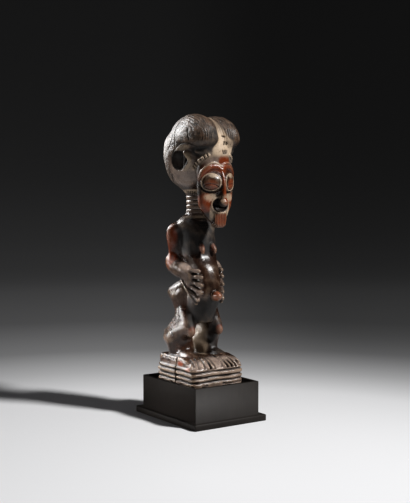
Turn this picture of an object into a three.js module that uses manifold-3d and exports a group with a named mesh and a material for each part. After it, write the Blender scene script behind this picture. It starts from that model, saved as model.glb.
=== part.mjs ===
// A standing figure of a spirit spouse, carved from one block of wood with its own banded base,
// and the dark wooden display stand that the base is let into.
// Millimetres, +Z up, the figure looks along -Y, the origin is at the centre of the stand's underside.
import * as THREE from 'three';
import { ParametricGeometry } from 'three/addons/geometries/ParametricGeometry.js';
import { mergeVertices } from 'three/addons/utils/BufferGeometryUtils.js';
import Module from 'manifold-3d';

const wasm = await Module();
wasm.setup();

// Driving dimensions of the stand
const FOOT = { width: 118, depth: 152, height: 8.5 };
const BLOCK = { width: 105.5, depth: 133.5, top: 54 };
const RECESS = { wall: 5, depth: 5 };

// Driving dimensions of the figure
const CLEARANCE = 0.3;
const BASE_BOTTOM = BLOCK.top - RECESS.depth + CLEARANCE;
const BASE = { halfWidth: 44.5, halfDepth: 47.5, square: 8.5 };
const RING_PITCH = 6.2;
const GROOVE = { low: 57, middle: 63.5, high: 70.8 };
const CRACK = { y: -4, width: 1.4, depth: 9 };
// The face sits a little to the figure's right of the middle, as it was carved.
const FACE_ASIDE = -1;

// A closed geometry as a manifold-3d solid: vertices merged, collapsed triangles dropped, faces out.
function solid(geometry) {
  geometry.deleteAttribute('normal');
  geometry.deleteAttribute('uv');
  const merged = mergeVertices(geometry, 1e-3);
  const kept = [];
  for (let i = 0; i < merged.index.count; i += 3) {
    const [a, b, c] = [0, 1, 2].map((k) => merged.index.getX(i + k));
    if (a !== b && b !== c && c !== a) kept.push(a, b, c);
  }
  const vertProperties = merged.attributes.position.array;
  const build = (triVerts) => new wasm.Manifold(new wasm.Mesh({ numProp: 3, vertProperties, triVerts }));
  const made = build(new Uint32Array(kept));
  return made.volume() > 0 ? made : build(new Uint32Array(kept.reverse()));
}

// The other side's copy of a geometry, across the plane X = 0.
function mirrored(geometry) {
  return geometry.clone().scale(-1, 1, 1);
}

// A piece and its mirror image as two solids.
function pair(geometry) {
  return [solid(mirrored(geometry)), solid(geometry)];
}

// A solid further along X, where the face is.
function onFace(made) {
  return made.translate([FACE_ASIDE, 0, 0]);
}

function union(solids) {
  return solids.reduce((whole, next) => whole.add(next));
}

// An ellipsoid at [x, y, z] with its three radii.
function ball([x, y, z], [rx, ry, rz], sides = 12, rings = 8) {
  return new THREE.SphereGeometry(1, sides, rings).rotateX(Math.PI / 2).scale(rx, ry, rz).translate(x, y, z);
}

// An egg: an ellipsoid whose outer and inner, front and back, upper and lower radii differ.
function egg([x, y, z], [outer, inner], [front, back], [up, down], sides, rings) {
  const geometry = ball([0, 0, 0], [1, 1, 1], sides, rings);
  const { position } = geometry.attributes;
  for (let i = 0; i < position.count; i += 1) {
    const [px, py, pz] = [position.getX(i), position.getY(i), position.getZ(i)];
    const radii = [px > 0 ? outer : inner, py > 0 ? back : front, pz > 0 ? up : down];
    position.setXYZ(i, x + px * radii[0], y + py * radii[1], z + pz * radii[2]);
  }
  return geometry;
}

// Stacked horizontal sections, each [z, x, y, half width, reach forward, reach back]:
// superellipses, with one power for the front half and one for the back, flat at both ends.
function loft(rows, sides, frontPower = 2, backPower = frontPower) {
  const last = rows.length - 1;
  return new ParametricGeometry((u, v, target) => {
    const step = Math.round(v * (last + 2)) - 1;
    const [z, x, y, half, forward, back] = rows[Math.min(Math.max(step, 0), last)];
    const open = step < 0 || step > last ? 0 : 1;
    const angle = 2 * Math.PI * u;
    const power = 2 / (Math.sin(angle) < 0 ? frontPower : backPower);
    const [side, fore] = [Math.cos(angle), Math.sin(angle)].map((wave) => (
      Math.abs(wave) < 1e-9 ? 0 : Math.sign(wave) * Math.abs(wave) ** power));
    target.set(x + open * half * side, y + open * (fore < 0 ? forward : back) * fore, z);
  }, sides, last + 2);
}

// A tube through the points [x, y, z, radius], closed by blunt points; tall stretches its section upward.
function tube(rows, sides = 8, tall = 1) {
  const points = rows.map(([x, y, z]) => new THREE.Vector3(x, y, z));
  const last = rows.length - 1;
  const rings = points.map((point, i) => {
    const tangent = points[Math.min(i + 1, last)].clone().sub(points[Math.max(i - 1, 0)]).normalize();
    return { point, tangent, radius: rows[i][3] };
  });
  const tip = ({ point, tangent, radius }, sign) => (
    { point: point.clone().addScaledVector(tangent, 0.8 * sign * radius), tangent, radius: 0 });
  const all = [tip(rings[0], -1), ...rings, tip(rings[last], 1)];
  const carried = new THREE.Vector3(0.31, 0.17, 0.94).cross(rings[0].tangent);
  const frames = all.map(({ tangent }) => {
    carried.addScaledVector(tangent, -carried.dot(tangent)).normalize();
    return { across: carried.clone(), over: tangent.clone().cross(carried) };
  });
  return new ParametricGeometry((u, v, target) => {
    const step = Math.round(v * (all.length - 1));
    const { point, radius } = all[step];
    const { across, over } = frames[step];
    target.copy(point)
      .addScaledVector(across, radius * Math.cos(2 * Math.PI * u))
      .addScaledVector(over, tall * radius * Math.sin(2 * Math.PI * u));
  }, sides, all.length - 1);
}

// Points on an arch from angle a to angle b, in degrees from +X towards +Z, on the curved face.
function arch([x, z], [rx, rz], [a, b], steps, radius, depthAt) {
  return Array.from({ length: steps + 1 }, (_, i) => {
    const angle = THREE.MathUtils.degToRad(a + ((b - a) * i) / steps);
    const [px, pz] = [x + rx * Math.cos(angle), z + rz * Math.sin(angle)];
    return [px, depthAt(px, pz), pz, radius];
  });
}

// The skull, from the nape up to the crown.
const SKULL = [
  [310, 0, 9, 13, 14, 13], [316, 0, 9, 17, 18, 17], [322, 0, 7, 24, 25, 29], [330, 0, 5, 33, 33, 42],
  [344, 0, 4, 40, 38, 50], [358, 0, 4, 43, 41, 53], [372, 0, 4, 44, 41, 53.5], [386, 0, 3, 42.5, 36, 51],
  [399, 0, 1, 36, 28, 43], [410, 0, -3, 24, 20, 31], [416, 0, -6, 14, 12, 20],
];
const SKULL_POWER = 2.15;

// The mask-like face in front of the skull, from the chin up to the tongue of forehead between the lobes.
const FACE = [
  [268, 0, -45, 5, 6, 6], [275, 0, -42, 11.5, 9, 14], [282, 0, -39.5, 17, 11, 22],
  [290, 0, -38, 22, 12.5, 26], [296, 0, -37, 25.5, 13, 28],
  [310, 0, -37, 27.6, 13.5, 28], [330, 0, -37, 28, 14, 28],
  [345, 0, -35, 28, 16, 28], [357, 0, -33, 25.5, 19.5, 28], [371, 0, -29, 21.5, 25, 24],
  [385, 0, -24, 15, 27.5, 20], [398, 0, -20, 10, 26.5, 16], [409, 0, -15, 6, 22, 14],
  [416, 0, -12, 4, 15, 10],
];
const FACE_POWER = 2.25;
const JAW_POWER = 1.25;

// The wedge that carries the two eyes, turned to either side of the nose.
const WEDGE = [
  [311, 0, -38, 25, 14, 10], [316, 0, -38, 28, 19.5, 12], [328, 0, -38, 28.6, 20.5, 12],
  [339, 0, -38, 28.3, 19.5, 12], [346, 0, -38, 26, 15, 10],
];
const WEDGE_POWER = 1.25;

// How far forward the face reaches at a place across and up, from the same sections.
function faceDepth(x, z) {
  const above = Math.max(1, FACE.findIndex(([level]) => level >= z));
  const [low, high] = [FACE[above - 1], FACE[above]];
  const share = (z - low[0]) / (high[0] - low[0]);
  const [y, half, forward] = [2, 3, 4].map((k) => low[k] + share * (high[k] - low[k]));
  const across = Math.min(Math.abs(x) / half, 1);
  return y - forward * (1 - across ** FACE_POWER) ** (1 / FACE_POWER);
}

// Two swelling lobes of dressed hair that lean out over the forehead, with a valley between them:
// the figure's right one stands a little higher.
function hair() {
  const lobes = [[-17, 36], [17, 33.8]].map(([x, up]) => (
    solid(egg([x, -10, 385], [26.5, 26.5], [48, 44], [up, 18], 14, 9))));
  const roll = tube([[9, -46.5, 378, 4.4], [17, -44.5, 372, 5], [23, -40.5, 369, 4.6], [29, -33, 369, 3]], 6);
  return [...lobes, ...pair(roll)];
}

// An eye lies in a plane on its side of the wedge: where its middle is and how far it is turned aside.
const EYE = { middle: [15, -50.6, 327.6], turned: 32.55, across: 13.2, up: 11.4, rim: 1.2, behind: 6 };
const BULGE = { right: 5.6, left: 3.8 };

// A geometry made facing -Y about the origin, moved into the plane of the figure's left eye.
function inEyePlane(geometry) {
  return geometry.rotateZ(THREE.MathUtils.degToRad(EYE.turned)).translate(...EYE.middle);
}

// Part of the raised rim round the eye, from angle a to angle b in degrees; its lower half is flatter.
function rim(a, b, steps) {
  const points = Array.from({ length: steps + 1 }, (_, i) => {
    const angle = THREE.MathUtils.degToRad(a + ((b - a) * i) / steps);
    const wave = Math.sin(angle);
    const up = EYE.up * Math.sign(wave) * Math.abs(wave) ** (wave < 0 ? 0.8 : 1);
    return [EYE.across * Math.cos(angle), 0, up, EYE.rim];
  });
  return inEyePlane(tube(points, 4).translate(0, 0.3, 0));
}

// The ball of the eye, a little wider than the middle of its rim.
function eyeball(bulge) {
  const [across, up] = [EYE.across + 0.4, EYE.up + 0.4];
  return inEyePlane(egg([0, 0.8, 0], [across, across], [bulge, EYE.behind], [up, up], 10, 6));
}

// The brow's broad band, and the toothed strip that runs up the temple, as [x, y, z].
const BROW = [
  [27.3, -40.6, 333], [25.1, -43.6, 338.5], [21.4, -46.4, 343.4], [16.5, -48.8, 347],
  [11, -50.5, 348.4], [5.4, -51.8, 347.3], [1.4, -53.9, 343.9],
];
const TEMPLE = [
  [26.5, -25.5, 346], [27.3, -34.4, 353.6], [25.6, -40.2, 358], [22, -45, 361.4], [18, -48.2, 363.6],
];

function eyes() {
  const line = (points, radius) => tube(points.map((point) => [...point, radius]), 4);
  const bands = [line(BROW, 2.9), line(TEMPLE, 2)];
  const balls = [mirrored(eyeball(BULGE.right)), eyeball(BULGE.left)].map(solid);
  return [...balls, ...[...bands, rim(-12, 192, 7), rim(176, 364, 6)].flatMap(pair)];
}

// A thin upright blade of nose that swells into a round tip over the mouth.
const NOSE = [
  [298, 0, -49, 4, 8, 3], [303, 0, -49, 4.6, 12.5, 3], [313, 0, -49, 3.4, 13.2, 3],
  [325, 0, -49, 2.7, 12.8, 3], [336, 0, -48.5, 2.7, 10.5, 4], [345, 0, -47, 3.4, 7, 5],
];
const NOSE_POWER = 3.6;

function nose() {
  const tip = ball([0.3, -57.5, 300.2], [6.6, 6.5, 6], 10, 6);
  return [loft(NOSE, 8, NOSE_POWER), tip].map(solid);
}

// The open mouth is a hollow between the nose tip and a grooved block of beard, with a thin lip beside it.
function mouthHollow() {
  return solid(ball([0, -50, 297], [12.8, 12, 9.5], 10, 6));
}

function lips() {
  return pair(tube(arch([0, 297.5], [13.4, 10.6], [62, 300], 5, 1.3, faceDepth), 4));
}

const BEARD = [
  [266.6, 0, -47, 4.5, 3, 6], [268, 0, -47, 7.4, 5, 8], [271, 0, -47, 9.6, 6, 8], [285, 0, -47, 10, 6, 8],
  [288, 0, -47, 8.5, 5, 8],
];

function beard() {
  const block = loft(BEARD, 12, 4);
  const grooves = [-4.5, 0, 4.5].map((x) => tube([[x, -53.4, 269, 1.1], [x, -53.4, 286, 1.1]], 3));
  return grooves.reduce((cut, groove) => cut.subtract(solid(groove)), solid(block));
}

// A deep round ear hollow with a smaller one before it, and a groove that runs forward under the hair.
function earHollows() {
  const groove = tube([[43, -12, 368, 4], [38, -28, 366, 4], [31, -41, 366.5, 3]], 6);
  const round = ball([43, -8, 356.5], [15, 14, 13.5], 12, 6);
  const small = ball([38, -20, 356], [6, 3, 5], 6, 4);
  return [round, small, groove].flatMap(pair);
}

// Three struts that frame the small pierced flap in front of the hollow.
function earFlaps() {
  const [top, front, foot] = [[37, -18.5, 367], [32.3, -24, 358.5], [35.3, -14, 344]];
  const struts = [
    [[...top, 2.6], [...front, 2.8]],
    [[...front, 2.6], [...foot, 2.4]],
    [[...top, 1.5], [36.2, -16.5, 357, 1.3], [...foot, 1.6]],
  ];
  return struts.flatMap((strut) => pair(tube(strut, 4)));
}

// A ring round the neck, from its height at the back down to its height in front.
function collar(back, front, reach, thick, tall) {
  const lean = Math.asin((back - front) / (2 * reach));
  const ring = new THREE.TorusGeometry(reach, thick, 4, 12).scale(1, 1, tall);
  return ring.rotateX(lean).translate(0, 9, (back + front) / 2);
}

// Soft rings round the neck, with a notched band at their top and a thin collar at their foot.
function neck() {
  const rows = [[276, 0, 9, 14.4, 14.4, 14.4]];
  for (let ring = 0; ring < 5; ring += 1) {
    const z = 287 + ring * RING_PITCH;
    const bulge = 15.2 - 0.2 * ring;
    const groove = bulge - 1.8;
    rows.push([z, 0, 9, bulge, bulge, bulge], [z + RING_PITCH * 0.6, 0, 9, groove, groove, groove]);
  }
  return [loft(rows, 10), collar(319, 312.3, 14.6, 1.7, 1.9), collar(284.5, 275, 15.2, 1.2, 1)].map(solid);
}

// The trunk, from the neck down to the crotch.
const TORSO = [
  [284, 0, 10, 14, 13, 13], [277, 0, 12, 24, 16, 15], [269, 0, 12, 28, 22, 18], [258, 0, 10, 25.5, 25, 20],
  [242, 0, 7, 25, 24, 26], [226, 0, 5, 24.5, 24, 27.5], [208, 0, -3, 20.3, 28, 27], [188, 0, -8, 20, 28, 26],
  [172, 0, -5, 23, 31, 32], [160, 0, 0, 24, 27, 34], [148, 0, 3, 21, 25, 28], [138, 0, 5, 19, 23, 20],
  [133, 0, 5, 18, 21, 18],
];
const TORSO_POWER = 2.4;
const CROTCH = [[133.4, 0, 3, 14.5, 17, 17], [135, 0, 3, 16.5, 19, 18], [146, 0, 3, 19, 22, 22]];

const BREAST = [
  [8.5, -11, 243, 5.2], [9.2, -17, 239, 4.4], [10, -21, 235, 3.3], [10.2, -22, 231.5, 2.4],
];

function torso() {
  const breast = tube(BREAST, 6);
  const navel = ball([0, -38, 172.8], [7, 12, 7], 8, 6);
  const groin = tube([[30, 0, 192, 2.2], [27, -12, 177, 2.7], [21, -22, 162, 2.4]], 4);
  const trunk = solid(loft(TORSO.slice().reverse(), 16, TORSO_POWER));
  return [trunk, solid(loft(CROTCH, 12, 3)), solid(navel), ...pair(breast), ...pair(groin)];
}

const UPPER_ARM = [
  [21, 17, 266, 9], [28.5, 24, 261, 8.8], [29.7, 24, 247, 8.2], [29.5, 24, 235, 6], [30, 25, 228, 5.2],
];
const FOREARM = [
  [30, 26, 220, 8.8], [30, 22, 214, 9.7], [29, 12, 209.5, 10], [27.5, 2, 206, 9.5], [25.5, -6, 203, 8],
];

// Thumb to little finger: where each leaves the palm and where it ends on the belly.
const FINGERS = [
  [[25, -13, 207], [19, -25, 206.5]], [[25, -13, 199], [17.5, -29, 198]],
  [[25.5, -12, 193], [17.5, -30, 187]], [[26, -10, 188], [18, -29.5, 176.5]],
  [[26, -8, 182], [20.5, -25, 167]],
];

function arm() {
  const upper = tube(UPPER_ARM, 8);
  const lower = tube(FOREARM, 8, 1.22);
  const palm = ball([25.5, -10, 196], [5, 9, 13], 6, 4);
  const web = ball([25.5, 20, 245], [5, 7, 22], 6, 5);
  const fingers = FINGERS.map(([from, to]) => tube([[...from, 2.9], [...to, 2.9]], 4));
  return [upper, lower, palm, web, ...fingers].flatMap(pair);
}

const LEG = [
  [84, 20, 17, 16, 21, 19], [97, 20, 18, 17, 22, 21], [108, 22.5, 20, 18.8, 22, 28],
  [115, 23.5, 18, 17, 23.5, 28.5], [125, 23.5, 15, 15, 30, 25], [135, 22, 11, 13.5, 25, 19],
  [144, 21, 7, 12, 17, 16], [156, 20, 10.5, 12.8, 15, 16.5], [172, 18.5, 16, 17, 20, 28],
  [180, 17.5, 15, 17, 20, 26], [187, 16, 11, 14, 15, 18], [193, 13, 9, 9, 10, 12],
];

function legs() {
  const knee = ball([23.5, -11.5, 122], [6.3, 8, 8.5], 8, 6);
  return [loft(LEG, 10), knee].flatMap(pair);
}

// A wedge of foot that ends in a fan of five toes lying on the sloping front of the base.
function feet() {
  const instep = tube([[24, 6, 86, 11], [24, -10, 82, 12], [23, -24, 76, 12]], 6);
  const toes = [0, 1, 2, 3, 4].map((toe) => {
    const root = 10 + 4.6 * toe;
    const tip = 10 + 7.4 * toe;
    const short = 0.45 * toe * toe;
    const joint = 0.4 * root + 0.6 * tip;
    return tube([[root, -20, 86, 2.6], [joint, -34, 81.5, 3.2], [tip, -44.5 + short, 75.5, 3.5]], 4);
  });
  return [instep, ...toes].flatMap(pair);
}

// The integral base: four rounded bands between grooves, and a sloping top that carries the feet.
function base() {
  const { halfWidth, halfDepth, square } = BASE;
  const ring = (z, inset) => [z, 0, 0, halfWidth - inset, halfDepth - inset, halfDepth - inset];
  const { low, middle, high } = GROOVE;
  const rows = [
    ring(BASE_BOTTOM, 1.5), ring(BASE_BOTTOM + 2, 0.4), ring(low - 1.3, 0.6), ring(low, 3),
    ring(low + 1.5, 0.4), ring(middle - 1.5, 0.2), ring(middle, 3.2), ring(middle + 1.5, 0),
    ring(high - 1.3, 0.3), ring(high, 2.8), ring(high + 1.4, 0.6),
  ];
  const bands = solid(loft([...rows, ring(75, 1.5)], 16, square));
  const top = solid(loft([[73, 0, 1, 42, 45, 45], [77, 0, 1, 42, 44, 45], [82, 0, 1, 42, 38, 45],
    [85, 0, 1, 41.5, 31, 45], [87.5, 0, 1, 40, 20, 44]], 16, square));
  const crack = new THREE.BoxGeometry(2 * CRACK.depth, CRACK.width, 60).translate(-halfWidth, CRACK.y, 80);
  return bands.add(top).subtract(solid(crack));
}

function standSolid() {
  const height = BLOCK.top - FOOT.height;
  const within = 2 * RECESS.wall;
  const slab = new THREE.BoxGeometry(FOOT.width, FOOT.depth, FOOT.height);
  const block = new THREE.BoxGeometry(BLOCK.width, BLOCK.depth, height);
  const hollow = new THREE.BoxGeometry(BLOCK.width - within, BLOCK.depth - within, 2 * RECESS.depth);
  slab.translate(0, 0, FOOT.height / 2);
  block.translate(0, 0, FOOT.height + height / 2);
  hollow.translate(0, 0, BLOCK.top);
  return solid(slab).add(solid(block)).subtract(solid(hollow));
}

function figureSolid() {
  const skull = solid(loft(SKULL, 16, SKULL_POWER)).add(union(hair()));
  const face = solid(loft(FACE, 16, FACE_POWER, JAW_POWER));
  const mask = onFace(face.add(solid(loft(WEDGE, 12, WEDGE_POWER, 2))));
  const hollows = union(earHollows()).add(onFace(mouthHollow()));
  const features = onFace(union([...eyes(), ...nose(), ...lips(), beard()]));
  const head = skull.add(mask).subtract(hollows).add(union(earFlaps())).add(features);
  const body = union([...torso(), ...arm(), ...legs(), ...feet(), ...neck(), base()]);
  return body.add(head);
}

// A manifold-3d solid back as a three.js geometry.
function geometryOf(made) {
  const { vertProperties, triVerts } = made.getMesh();
  const geometry = new THREE.BufferGeometry();
  geometry.setAttribute('position', new THREE.BufferAttribute(vertProperties, 3));
  geometry.setIndex(new THREE.BufferAttribute(triVerts, 1));
  geometry.computeVertexNormals();
  return geometry;
}

const figure = new THREE.Mesh(
  geometryOf(figureSolid()),
  new THREE.MeshStandardMaterial({ color: 0x3a2419, roughness: 0.42, metalness: 0 }),
);
figure.name = 'carved_figure';

const stand = new THREE.Mesh(
  geometryOf(standSolid()),
  new THREE.MeshStandardMaterial({ color: 0x1c1815, roughness: 0.6, metalness: 0 }),
);
stand.name = 'display_stand';

const part = new THREE.Group();
part.add(figure, stand);
export default part;
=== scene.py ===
"""A standing figure of a spirit spouse on its dark wooden display stand, dressed for the studio.

The figure's big forms are the same sections and tubes as in the CAD part, worked out with numpy, joined
with a voxel remesh and smoothed the way a knife rounds wood. Crisp forms are added on top, then the finest
relief is pressed into the mesh. Lengths are in millimetres until a mesh is made. +Z is up and the figure
looks along -Y. Where only one side is written down it is the +X side, and the other is its mirror image.
"""
from functools import reduce

import bpy
import numpy as np
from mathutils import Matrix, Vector


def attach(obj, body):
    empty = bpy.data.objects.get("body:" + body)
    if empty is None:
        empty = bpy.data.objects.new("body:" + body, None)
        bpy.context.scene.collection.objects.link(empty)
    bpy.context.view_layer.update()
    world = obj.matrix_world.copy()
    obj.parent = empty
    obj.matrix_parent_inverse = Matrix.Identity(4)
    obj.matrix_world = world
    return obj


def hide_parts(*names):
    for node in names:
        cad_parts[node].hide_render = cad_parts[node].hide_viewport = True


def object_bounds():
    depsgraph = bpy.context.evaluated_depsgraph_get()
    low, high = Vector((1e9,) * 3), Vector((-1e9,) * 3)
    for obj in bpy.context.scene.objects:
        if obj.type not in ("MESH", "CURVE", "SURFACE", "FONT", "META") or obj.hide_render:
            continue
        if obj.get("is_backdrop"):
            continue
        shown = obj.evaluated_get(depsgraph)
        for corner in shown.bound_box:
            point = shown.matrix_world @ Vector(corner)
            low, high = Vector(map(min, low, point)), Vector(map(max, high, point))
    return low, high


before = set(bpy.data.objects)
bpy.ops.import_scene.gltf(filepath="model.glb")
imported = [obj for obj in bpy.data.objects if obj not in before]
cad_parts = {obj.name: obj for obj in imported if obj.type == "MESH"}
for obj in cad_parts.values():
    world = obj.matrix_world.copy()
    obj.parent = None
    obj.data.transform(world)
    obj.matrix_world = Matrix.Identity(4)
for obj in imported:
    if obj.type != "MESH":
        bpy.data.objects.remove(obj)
cad_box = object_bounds()

MM = 0.001

# The camera that the photograph was taken from, worked out from the stand's edges.
CAMERA_BEARING = -34.36
CAMERA_DISTANCE = 1391.09
CAMERA_HEIGHT = 316.99
CAMERA_DOWN = 3.513
CAMERA_ASIDE = 0.297
CAMERA_LENS = 71.56

# How finely the wood is worked.
ROUGH_VOXEL = 1.2
FINE_VOXEL = 0.7
ROUGH_ROUNDS = 16
FINE_ROUNDS = 3
MOST_TRIANGLES = 190000

# The stand, as in the CAD part.
FOOT_WIDTH, FOOT_DEPTH, FOOT_HEIGHT = 118.0, 152.0, 8.5
BLOCK_WIDTH, BLOCK_DEPTH, BLOCK_TOP = 105.5, 133.5, 54.0
RECESS_WALL, RECESS_DEPTH = 5.0, 5.0
BASE_BOTTOM = BLOCK_TOP - RECESS_DEPTH + 0.3

# The figure's own base, with its grooves as (height, depth), and the crack in its near side.
BASE_HALF_WIDTH, BASE_HALF_DEPTH, BASE_SQUARE = 44.5, 47.5, 8.5
BASE_GROOVES = ((57.0, 2.8), (63.5, 3.4), (70.8, 2.8))
BASE_GROOVE_HALF_WIDTH = 2.1
BASE_CRACK_Y = -4


# Surfaces worked out on a grid

def through(rows, steps):
    """A smooth curve through the rows, all columns at once (Catmull-Rom)."""
    rows = np.asarray(rows, float)
    padded = np.vstack([2 * rows[0] - rows[1], rows, 2 * rows[-1] - rows[-2]])
    along = np.linspace(0, len(rows) - 1, steps)
    row = np.minimum(along.astype(int), len(rows) - 2)
    share = (along - row)[:, None]
    a, b, c, d = (padded[row + k] for k in range(4))
    return b + 0.5 * share * (c - a + share * (2 * a - 5 * b + 4 * c - d + share * (3 * (b - c) + d - a)))


def grid_cells(rings, sides):
    """Two triangles for each cell between rings of points that close sideways."""
    index = np.arange(rings * sides).reshape(rings, sides)
    here, right = index[:-1], np.roll(index[:-1], -1, 1)
    above, across = index[1:], np.roll(index[1:], -1, 1)
    lower, upper = np.stack([here, right, across], -1), np.stack([here, across, above], -1)
    return np.concatenate([lower, upper]).reshape(-1, 3)


def fan(middle, ring):
    """Triangles from one point to a ring of points, all of them given by their numbers."""
    return np.stack([np.full(len(ring), middle), ring, np.roll(ring, -1)], -1)


def skin(grid):
    """A closed surface over rings of points: two triangles per cell, and a fan at the middle of each end."""
    rings, sides = grid.shape[:2]
    ring = np.arange(sides)
    low = fan(rings * sides, ring)[:, [0, 2, 1]]
    high = fan(rings * sides + 1, ring + (rings - 1) * sides)
    points = np.vstack([grid.reshape(-1, 3), grid[0].mean(0), grid[-1].mean(0)])
    triangles = np.vstack([grid_cells(rings, sides), low, high])
    a, b, c = (points[triangles[:, k]] for k in range(3))
    inside_out = np.einsum("ij,ij->i", a, np.cross(b, c)).sum() < 0
    return points, triangles[:, ::-1] if inside_out else triangles


def loft(rows, front_power=2.0, back_power=None, steps=90, sides=96):
    """Level sections [z, x, y, half width, reach forward, reach back], each a superellipse: across is
    half width * cos^(2/power) and along is reach * sin^(2/power), with a power for front and for back."""
    z, x, y, half, forward, back = (column[:, None] for column in through(rows, steps).T)
    angle = np.linspace(0, 2 * np.pi, sides, endpoint=False)
    cosine, sine = np.cos(angle), np.sin(angle)
    power = 2 / np.where(sine < 0, front_power, back_power or front_power)
    side = np.sign(cosine) * np.abs(cosine) ** power
    fore = np.sign(sine) * np.abs(sine) ** power
    grid = np.stack([x + half * side, y + np.where(fore < 0, forward, back) * fore, z + 0 * side], -1)
    return skin(grid)


def tube(rows, facing=(0.0, 0.0, 1.0), tall=1.0, steps=40, sides=24):
    """A round section carried along a curve through [x, y, z, radius], closed by domes. The section's second
    radius, along facing, is the first one times tall."""
    line = through(rows, steps)
    path, radius = line[:, :3], line[:, 3]
    tangent = np.gradient(path, axis=0)
    tangent /= np.linalg.norm(tangent, axis=1, keepdims=True)
    dome = 6
    turn = np.linspace(0.04, 1, dome)[:, None] * np.pi / 2
    start = path[0] - tangent[0] * radius[0] * np.cos(turn)
    end = path[-1] + tangent[-1] * radius[-1] * np.cos(turn[::-1])
    path = np.vstack([start[:-1], path, end[1:]])
    opening, closing = radius[0] * np.sin(turn), radius[-1] * np.sin(turn[::-1])
    radius = np.concatenate([opening[:-1, 0], radius, closing[1:, 0]])
    tangent = tangent[np.clip(np.arange(len(path)) - (dome - 1), 0, len(tangent) - 1)]
    across = np.cross(tangent, facing)
    across /= np.linalg.norm(across, axis=1, keepdims=True)
    over = np.cross(across, tangent)
    angle = np.linspace(0, 2 * np.pi, sides, endpoint=False)[None, :, None]
    reach = radius[:, None, None]
    grid = path[:, None] + reach * (np.cos(angle) * across[:, None] + tall * np.sin(angle) * over[:, None])
    return skin(grid)


def with_radius(path, radius):
    """The points of a path as rows [x, y, z, radius] for a tube."""
    return np.column_stack([path, np.full(len(path), radius)])


def egg(centre, side, depth, height, steps=40, sides=64):
    """An ellipsoid whose radii are given as (towards -, towards +) pairs for X, Y and Z."""
    rise = np.linspace(-np.pi / 2, np.pi / 2, steps)[1:-1, None]
    angle = np.linspace(0, 2 * np.pi, sides, endpoint=False)
    level = np.cos(rise)
    unit = np.stack([level * np.cos(angle), level * np.sin(angle), np.sin(rise) + 0 * angle], -1)
    radii = np.array([side, depth, height], float)
    return skin(np.array(centre) + unit * np.where(unit < 0, radii[:, 0], radii[:, 1]))


def ball(centre, radii):
    """An ellipsoid with one radius each for X, Y and Z."""
    return egg(centre, *[(radius, radius) for radius in radii])


def mirrored(shape):
    """The same surface on the other side of X = 0, with its faces still outwards."""
    points, triangles = shape
    return points * (-1, 1, 1), triangles[:, ::-1]


def moved(shape, across):
    """The same surface further along X."""
    points, triangles = shape
    return points + (across, 0, 0), triangles


def both(*shapes):
    """Each of the shapes and its mirror image."""
    return [side for shape in shapes for side in (shape, mirrored(shape))]


# Meshes and the modifiers that join, cut and thin them

def mesh_object(name, points, triangles):
    """A mesh object in metres from points in millimetres and triangles."""
    mesh = bpy.data.meshes.new(name)
    mesh.vertices.add(len(points))
    mesh.vertices.foreach_set("co", np.ascontiguousarray(points * MM, np.float32).ravel())
    mesh.loops.add(3 * len(triangles))
    mesh.loops.foreach_set("vertex_index", np.ascontiguousarray(triangles, np.int32).ravel())
    mesh.polygons.add(len(triangles))
    mesh.polygons.foreach_set("loop_start", np.arange(0, 3 * len(triangles), 3, dtype=np.int32))
    mesh.update(calc_edges=True)
    mesh.validate()
    made = bpy.data.objects.new(name, mesh)
    bpy.context.scene.collection.objects.link(made)
    return made


def arrays_of(made):
    """The points in millimetres and the triangles of an object with its modifiers applied. It is deleted."""
    bpy.context.view_layer.update()
    evaluated = made.evaluated_get(bpy.context.evaluated_depsgraph_get())
    mesh = evaluated.to_mesh()
    mesh.calc_loop_triangles()
    points = np.empty(3 * len(mesh.vertices), np.float32)
    mesh.vertices.foreach_get("co", points)
    triangles = np.empty(3 * len(mesh.loop_triangles), np.int32)
    mesh.loop_triangles.foreach_get("vertices", triangles)
    evaluated.to_mesh_clear()
    bpy.data.objects.remove(made)
    return points.reshape(-1, 3).astype(float) / MM, triangles.reshape(-1, 3)


def joined(shapes, voxel):
    """One skin over all the shapes, by a voxel remesh: what lies inside another shape disappears."""
    counts = np.cumsum([0] + [len(points) for points, _ in shapes])
    points = np.vstack([points for points, _ in shapes])
    triangles = np.vstack([triangles + first for (_, triangles), first in zip(shapes, counts)])
    made = mesh_object("joined", points, triangles)
    remesh = made.modifiers.new("join", "REMESH")
    remesh.mode = "VOXEL"
    remesh.voxel_size = voxel * MM
    return arrays_of(made)


def cut(shape, cutters):
    """The shape with the cutters taken out of it."""
    made = mesh_object("block", *shape)
    tools = [mesh_object("cutter", *cutter) for cutter in cutters]
    for tool in tools:
        difference = made.modifiers.new("cut", "BOOLEAN")
        difference.operation = "DIFFERENCE"
        difference.solver = "MANIFOLD"
        difference.object = tool
    result = arrays_of(made)
    for tool in tools:
        bpy.data.objects.remove(tool)
    return result


def thinned(shape, most):
    """The shape with its flattest places simplified until it has at most that many triangles."""
    made = mesh_object("dense", *shape)
    decimate = made.modifiers.new("thin", "DECIMATE")
    decimate.ratio = min(1.0, most / len(shape[1]))
    return arrays_of(made)


def summed(index, values, size):
    """For each number below size, the sum of the rows of values that carry it in index."""
    return np.stack([np.bincount(index, values[:, axis], size) for axis in range(3)], 1)


def smoothed(shape, rounds, share=0.5, back=0.9):
    """Each point moves a share of the way to the middle of its neighbours, again and again, and most of the
    way back every second time, so that nothing shrinks."""
    points, triangles = shape
    start, end = triangles.ravel(), np.roll(triangles, -1, 1).ravel()
    count = np.bincount(start, minlength=len(points))[:, None]
    for turn in range(rounds):
        middle = summed(start, points[end], len(points)) / count
        points = points + (share if turn % 2 == 0 else -back * share) * (middle - points)
    return points, triangles


def melted(shape, rounds):
    """Plain smoothing, which rounds every edge and fills every joint a little, as a worn carving is."""
    for _ in range(rounds):
        shape = smoothed(shape, 1)
    return shape


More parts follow.
